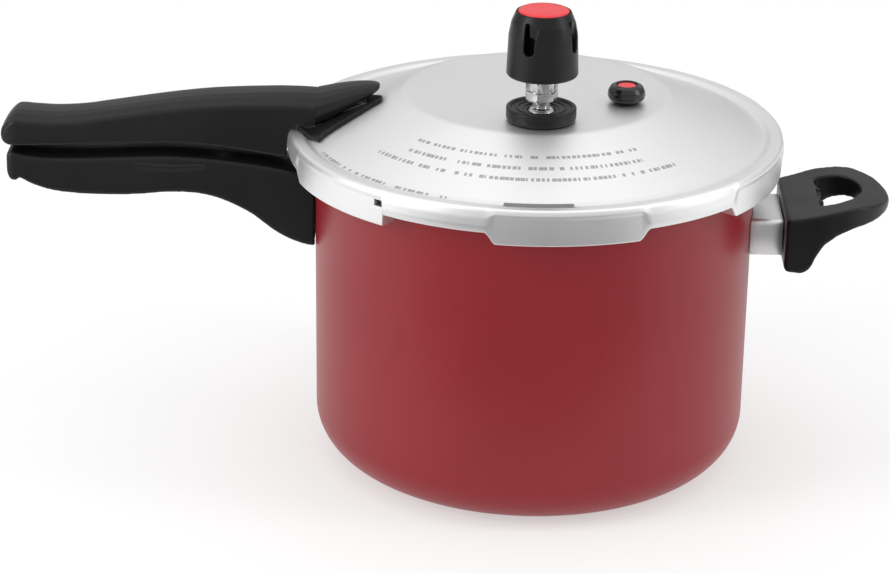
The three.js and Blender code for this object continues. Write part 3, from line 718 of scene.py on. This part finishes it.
def make_lid_cover(materials):
    """The cap over the handle's root, which runs out to a thin tongue above the crown's slope."""
    rings = []
    for x, top, bottom, half, crown in smooth_stations(COVER):
        shoulder = top - crown
        right = [(half * 0.35, top - crown * 0.12), (half * 0.65, top - crown * 0.42),
                 (half * 0.88, shoulder),
                 (half, shoulder - (shoulder - bottom) * 0.45), (half * 0.97, bottom + 0.3),
                 (half * 0.8, bottom)]
        ring = [(x, 0, top)] + [(x, y, z) for y, z in right] + [(x, 0, bottom)]
        rings.append(ring + [(x, -y, z) for y, z in reversed(right)])
    cover = loft("handle_cover", rings)
    cut(cover, box("recess", -110, -80.5, -9.6, 9.6, 150, 169.6))
    cut(cover, box("rivet_room", -91, -80.5, -9.6, 9.6, 160, 176.0))
    for side in (-1, 1):
        near, far = sorted((side * 9.7, side * 10.9))
        join(cover, box("inner_wall", -101, -80, near, far, 160, 174))
    cut(cover, lid_clearance(2.9))
    soften(cover, 0.42, 4)
    cut(cover, box("seam", -120, SEAM_X + 0.06, -20, 20, 150, 190))
    shade(cover, 50)
    return finish_piece(cover, "lid", "black_phenolic", materials["black"], "lid_handle_cover")


def make_body_handle(materials):
    handle = make_handle_blank("lower_handle", BODY_HANDLE)
    join(handle, box("boss", -152, -138, -13.5, 13.5, 130.5, 142))
    cut(handle, box("bracket_room", -155, -98, -10.4, 10.4, 136.6, 139.4))
    cut(handle, box("web_room", -108.4, -98, -10.4, 10.4, 90, 139.4))
    cut(handle, rod("screw_hole", SCREW_HEAD_HOLE_R, (BODY_SCREW_X, 0, 115), (BODY_SCREW_X, 0, 133.2)))
    groove = []
    middle_x, middle_z = -171, 141.5
    for half in (1.3, -1.3):
        arc = []
        for x in range(-190, -151, 2):
            sag = 1.4 * ((x - middle_x) / 18) ** 2
            arc.append((x, middle_z + sag + half * (1 - ((x - middle_x) / 20) ** 4)))
        groove += arc if half > 0 else arc[::-1]
    cut(handle, prism("groove", groove, 14.3, 20, "Y"))
    cut(handle, prism("groove", groove, -20, -14.3, "Y"))
    wall = [(0, 95), (POT_R + 0.45, 95), (POT_R + 0.45, 150), (0, 150)]
    cut(handle, revolve("wall", wall, False, segments=WALL_CUT_STEPS))
    soften(handle, 0.62, 5)
    return finish_piece(handle, "pot", "black_phenolic", materials["black"], "body_handle")


# ---- helper handle ----
def bezier(p0, p1, p2, p3, steps=14):
    points = []
    for k in range(steps):
        t = k / steps
        s = 1 - t
        points.append(tuple(s**3 * a + 3 * s * s * t * b + 3 * s * t * t * c + t**3 * d
                            for a, b, c, d in zip(p0, p1, p2, p3)))
    return points


def make_helper_handle(materials):
    back, tip = HELPER_BACK_X, HELPER_TIP_X
    near_curve = bezier((143, -31.8), (155, -29.5), (tip, -17), (tip, 0))
    far_curve = bezier((tip, 0), (tip, 17), (155, 29.5), (143, 31.8))
    plan = fillet([(back, -27), (back, -30.3, 4.5), (134, -33.2, 14)] + near_curve + far_curve
                  + [(134, 33.2, 14), (back, 30.3, 4.5), (back, 27)], True)
    block = prism("helper_grip", plan, 96, 142)
    side = fillet([(back, 103.2, 1.5), (125.2, 102.6, 2.5), (128.9, 105.6, 3), (131, 111, 5),
                   (134.6, 117.6, 8),
                   (141, 122.4, 10), (148, 125.2, 10), (158, 126.6, 8), (164, 127.8, 5), (tip + 1, 129, 0),
                   (tip + 1, 131.4, 0), (161, 134.0, 5), (152, 135.2, 8), (145, 134.7, 8), (135, 132.8, 8),
                   (125, 130.0, 8), (back, 128.2, 1.2)], True, 10)
    boolean(block, prism("side", side, -40, 40, "Y"), "INTERSECT")
    inner = 153.6
    hole = [(133.4, -17.4, 3), (134.5, -19, 3)]
    hole += bezier((140, -18.8), (147, -17.6), (inner, -9), (inner, 0))
    hole += bezier((inner, 0), (inner, 9), (147, 17.6), (140, 18.8))
    hole += [(140, 18.8), (134.5, 19, 3), (133.4, 17.4, 3)]
    cut(block, prism("hole", fillet(hole, True), 95, 145))
    for y in (-8.5, 8.5):
        join(block, rod("rib", 2.4, (133.6, y, 119), (133.6, y, 131)))
    cut(block, rod("screw_hole", SCREW_HOLE_R, (112, 0, HELPER_SCREW_Z), (130, 0, HELPER_SCREW_Z)))
    cut(block, rod("head_hole", 4.3, (126, 0, HELPER_SCREW_Z), (140, 0, HELPER_SCREW_Z)))
    soften(block, 0.6, 22)
    return finish_piece(block, "pot", "black_phenolic", materials["black"], "helper_handle")


def make_helper_bracket(materials):
    """A folded channel between the pot's wall and the grip."""
    z0, z1, half, thick = HELPER_BRACKET_Z0, HELPER_BRACKET_Z1, HELPER_BRACKET_HALF, 2
    section = fillet([(-half, z0), (half, z0), (half, z1, 2.6), (-half, z1, 2.6)], True)
    outer = prism("helper_bracket_channel", section, 0, 1)
    turn = Matrix(((0, 0, 1, 0), (1, 0, 0, 0), (0, 1, 0, 0), (0, 0, 0, 1)))
    outer.data.transform(turn)
    outer.data.transform(Matrix.Diagonal((16.5, 1, 1, 1)))
    outer.data.transform(Matrix.Translation((0.1, 0, 0)))
    outward(outer)
    cut(outer, box("inside", 99, 114.5, -half + thick, half - thick, z0 - 1, z1 - thick))
    leg_r = POT_R + 0.3 + thick
    leg = revolve("leg", [(0, z0), (leg_r, z0), (leg_r, z1 - 1), (0, z1 - 1)], False, segments=WALL_CUT_STEPS)
    boolean(leg, box("span", 95, 110, -half + 0.5, half - 0.5, z0, z1 - 1), "INTERSECT")
    join(outer, leg)
    wall = [(0, 90), (POT_R + 0.3, 90), (POT_R + 0.3, 140), (0, 140)]
    cut(outer, revolve("wall", wall, False, segments=WALL_CUT_STEPS))
    for side, z in RIVET_PLACES:
        if side > 0:
            cut(outer, rod("hole", RIVET_HOLE_R, (95, 0, z), (112, 0, z)))
    cut(outer, rod("screw_hole", SCREW_HOLE_R, (112, 0, HELPER_SCREW_Z), (120, 0, HELPER_SCREW_Z)))
    bevel(outer, 0.35, 2)
    return finish_piece(outer, "pot", "satin_aluminium", materials["satin"], "helper_bracket")


# ---- regulator and safety valve ----
def make_vent(materials):
    ring = revolve("vent_base_ring", fillet([
        (6.4, 179, 0.2), (15.2, 179, 0.8), (15.9, 180.4, 1), (15.9, 185.2, 0.8), (13.9, 185.4, 0.3),
        (13.5, 184.4, 0.3), (11.6, 184.4, 0.2), (11.4, 184.9, 0.2), (10.6, 184.9, 0.2), (10.4, 184.3, 0.2),
        (8.4, 184.3, 0.2), (7.6, 183.6, 0.2), (6.4, 183.6, 0.2)], True, 22), True, VALVE)
    finish_piece(ring, "lid", "black_phenolic", materials["black"], "vent_ring")
    stem = revolve("vent_pipe", fillet([
        (1.4, 167), (3.5, 167, 0.2), (3.9, 167.6, 0.2), (3.9, 179, 0.1), (6, 179, 0.2), (6, 183.4, 0.4),
        (5, 184.4, 0.4), (3.4, 184.8, 0.5), (2.6, 186.4, 0.5), (2.6, 194.5, 0.4), (2, 196, 0.3),
        (1.4, 196)], True, 20), True, VALVE)
    finish_piece(stem, "lid", "bright_metal", materials["bright"], "vent_stem")


def hexagon(across_flats, centre, turn=15):
    r = across_flats / math.sqrt(3)
    angles = [math.radians(60 * k + turn) for k in range(6)]
    return [(centre[0] + r * math.cos(t), centre[1] + r * math.sin(t)) for t in angles]


def make_weight(materials):
    core = prism("weight_body", hexagon(13.0, VALVE), 184, 204)
    barrel = fillet([(0, 184.6), (2.9, 184.6), (4.4, 186.4, 0.6), (7.5, 189.2, 0.8), (7.5, 196.4, 0.6),
                     (6.9, 198.2, 0.5), (6.9, 204), (0, 204)], False)
    boolean(core, revolve("barrel", barrel, False, VALVE, 96), "INTERSECT")
    line = revolve("line", [(5.9, 192.6), (9, 192.6), (9, 193.2), (5.9, 193.2)], True, VALVE, 96)
    cut(core, line)
    upper = rod("upper", 6.7, (*VALVE, 199), (*VALVE, 224), 64)
    join(core, upper)
    small_r = 1.8
    cut(core, rod("bore", 3.1, (*VALVE, 180), (*VALVE, 196.9)))
    cut(core, rod("needle_bore", small_r, (*VALVE, 196), (*VALVE, 206.4)))
    cut(core, rod("thread", small_r, (*VALVE, 214), (*VALVE, 226)))
    bevel(core, 0.35, 3)
    finish_piece(core, "weight", "bright_metal", materials["bright"], "weight_core")

    shell = fillet([
        (0, 226.6), (12.6, 225.2, 3), (13.9, 219, 4), (14.3, 200.6, 0.3), (15.4, 199.9, 0.5),
        (16.2, 201, 0.9),
        (15.5, 219, 14), (14.4, 224.6, 5), (12.3, 229.6, 0.7), (11.8, 229.6, 0.2), (11.7, 228.9, 0.2),
        (0, 228.9)], False, 8)
    cap = revolve("weight_cover", shell, False, VALVE, 160)
    join(cap, rod("hub", 9, (*VALVE, 206), (*VALVE, 226.8), 64))
    cut(cap, rod("hub_bore", 7.3, (*VALVE, 200), (*VALVE, 224.3), 64))
    for turn in (-24, 66, 156, 246):
        centre = Matrix.Translation((VALVE[0] * MM, VALVE[1] * MM, 0))
        spin = centre @ Matrix.Rotation(math.radians(turn), 4, "Z")
        slot = fillet([(-2.5, 212.3, 2.4), (2.4, 212.3, 2.4), (2.4, 217.4, 0.6), (-0.3, 218.4, 0.6),
                       (-0.5, 226.6, 0.6), (-2.6, 226.6, 0.8)], True)
        slot = prism("slot", slot, -20, -11.0, "Y")
        ramp_cut = prism("ramp", [(-0.6, 217.6), (2.5, 216.8), (4.4, 227.4), (-0.8, 227.4)], -20, -13.7, "Y")
        for shape in (slot, ramp_cut):
            shape.data.transform(spin)
            cut(cap, shape)
    cut(cap, rod("screw_bore", small_r, (*VALVE, 220), (*VALVE, 235)))
    cut(cap, rod("head_bore", 3.6, (*VALVE, 226.4), (*VALVE, 235)))
    soften(cap, 0.26, 3)
    finish_piece(cap, "weight", "black_phenolic", materials["black"], "weight_cap")

    disc = fillet([(0, 229.1), (11.3, 229.1, 0.2), (11.5, 229.6, 0.3), (10.6, 230.3, 0.8), (5, 230.7),
                   (0, 230.8)], False)
    badge = revolve("weight_button", disc, False, VALVE)
    finish_piece(badge, "weight", "red_plastic", materials["red_plastic"], "weight_badge")


def make_safety(materials):
    seal = revolve("safety_body", fillet([
        (2.3, 171.6, 0.2), (6, 171.6, 0.3), (7.6, 172.6, 0.5), (7.6, 174.6, 0.5), (6.6, 176.2, 0.3),
        (4.7, 176.4, 0.2), (4.7, 179, 0.2), (5.6, 178.95, 0.8), (8.0, 180.6, 1.2), (8.45, 181.7, 0.4),
        (8.2, 181.9, 0.1), (8.7, 182.4, 0.5), (8.5, 184.6, 1.6), (7.3, 186.8, 1.6), (5.5, 187.6, 0.5),
        (4.75, 187.4, 0.2), (4.65, 186.0, 0.1), (2.3, 186.0, 0.1)], True, 14), True, SAFETY)
    finish_piece(seal, "lid", "black_rubber", materials["black_rubber"], "safety_seal")
    plug = revolve("safety_button", fillet([(0, 170.2), (2, 170.2, 0.4), (2, 186.3, 0.1), (4.3, 186.3, 0.2),
                                            (4.3, 187.0, 0.4), (0, 187.4)], False), False, SAFETY, 96)
    finish_piece(plug, "safety", "red_plastic", materials["red_plastic"], "safety_plug")


# ---- rivets and screws ----
def make_fixings(materials):
    nodes = ("body_handle_rivet_1", "body_handle_rivet_2", "helper_bracket_rivet_1", "helper_bracket_rivet_2")
    wall = 6.2  # from under the inner head to under the outer head
    for node, (side, z) in zip(nodes, RIVET_PLACES):
        head = RIVET_HEADS[side]
        outline = fillet([(0, -1.9), (head * 0.6, -1.7, 2), (head, -0.2, 0.3), (head, 0, 0.1),
                          (RIVET_R, 0, 0.1),
                          (RIVET_R, wall, 0.1), (head, wall, 0.1), (head, 6.6, 0.5), (head * 0.6, 8, 1),
                          (0, 8.1)], False)
        rivet = revolve(node + "_domed", outline, False, segments=64)
        turn = Matrix.Rotation(math.radians(90 * side), 4, "Y")
        rivet.data.transform(Matrix.Translation((side * 99.4 * MM, 0, z * MM)) @ turn)
        outward(rivet)
        finish_piece(rivet, "pot", "polished_aluminium", materials["bare"], node)


def dress_cad_nodes(materials):
    looks = {
        "body_handle_bracket": "steel", "body_handle_screw": "steel", "helper_handle_screw": "steel",
        "lid_handle_bracket": "steel", "lid_handle_rivet_1": "bare", "lid_handle_rivet_2": "bare",
        "lid_handle_screw": "steel", "vent_washer": "grey_rubber", "vent_nut": "bright",
        "weight_needle": "bright",
        "weight_cap_screw": "steel",
    }
    for node, look in looks.items():
        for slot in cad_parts[node].material_slots:
            slot.material = materials[look]


def lid_metal():
    """Turned lid metal with rows of plain etched dashes: radius, first and last angle, width."""
    colour, etched = (0.85, 0.85, 0.852), (0.42, 0.42, 0.43)
    letter = 2.3  # mm along the row for one dash and its gap
    top_z = 159.7 * MM  # dashes only lie on the top face, above this height
    material, shader, nodes, links, radius, angle, height = spun_aluminium(
        "lid_metal", colour, (0.40, 0.50), 700)
    rows = [(76.5, -134, -54, 1.7), (83.3, -132, -55, 1.9), (90.0, -141, -46, 1.9), (105.2, -156, -111, 1.5),
            (105.2, 98, 148, 1.5)]
    marks = None
    for index, (row_r, first, last, width) in enumerate(rows):
        away = math_node(nodes, links, "ABSOLUTE", math_node(nodes, links, "SUBTRACT", radius, row_r * MM))
        band = math_node(nodes, links, "LESS_THAN", away, width / 2 * MM)
        after = math_node(nodes, links, "GREATER_THAN", angle, math.radians(first))
        before = math_node(nodes, links, "LESS_THAN", angle, math.radians(last))
        along = math_node(nodes, links, "MULTIPLY", angle, row_r / letter)
        cell = math_node(nodes, links, "FLOOR", along)
        within = math_node(nodes, links, "FRACT", along)
        random = nodes.new("ShaderNodeTexWhiteNoise")
        random.noise_dimensions = "1D"
        links.new(math_node(nodes, links, "ADD", cell, index * 71.0), random.inputs["W"])
        length = ramp(nodes, links, random.outputs["Value"], 0.35, 0.95, 0.12, 0.9)
        present = math_node(nodes, links, "GREATER_THAN", random.outputs["Value"], 0.13)
        dash = math_node(nodes, links, "MULTIPLY", math_node(nodes, links, "LESS_THAN", within, length),
                         present)
        row = math_node(nodes, links, "MULTIPLY", math_node(nodes, links, "MULTIPLY", band, dash),
                        math_node(nodes, links, "MULTIPLY", after, before))
        marks = row if marks is None else math_node(nodes, links, "MAXIMUM", marks, row)
    top_only = math_node(nodes, links, "MULTIPLY", marks,
                         math_node(nodes, links, "GREATER_THAN", height, top_z))
    links.new(ramp(nodes, links, top_only, colour, etched, 0.0, 1.0), shader.inputs["Base Color"])
    return material


def make_materials():
    return {
        "red": red_coating(),
        "lid": lid_metal(),
        "base": spun_aluminium("turned_base", (0.80, 0.80, 0.81), (0.25, 0.4), 300)[0],
        "bare": plain_metal("bare_aluminium", (0.86, 0.86, 0.87), 0.24),
        "satin": plain_metal("satin_aluminium", (0.72, 0.72, 0.72), 0.36, (1, 8, 8)),
        "steel": plain_metal("zinc_steel", (0.62, 0.62, 0.60), 0.34),
        "bright": plain_metal("bright_metal", (0.5, 0.5, 0.5), 0.24),
        "inside": moulded("nonstick", (0.022, 0.022, 0.024), 0.36, 900, 0.2),
        "black": moulded("black_phenolic", (0.0065, 0.0065, 0.007), 0.36, specular=0.27),
        "grey_rubber": moulded("grey_rubber", (0.20, 0.21, 0.22), 0.6, 1500),
        "black_rubber": moulded("black_rubber", (0.008, 0.008, 0.008), 0.22, 1500, 0.05),
        "red_plastic": moulded("red_plastic", (0.72, 0.030, 0.040), 0.3, 1200, 0.03),
    }


bpy.context.scene.view_settings.view_transform = "Standard"
make_camera()
make_floor()
make_flag()
make_lights()
looks = make_materials()
make_pot(looks)
make_lid(looks)
make_gasket(looks)
make_lid_handle(looks)
make_lid_cover(looks)
make_body_handle(looks)
make_helper_bracket(looks)
make_helper_handle(looks)
make_vent(looks)
make_weight(looks)
make_safety(looks)
make_fixings(looks)
dress_cad_nodes(looks)
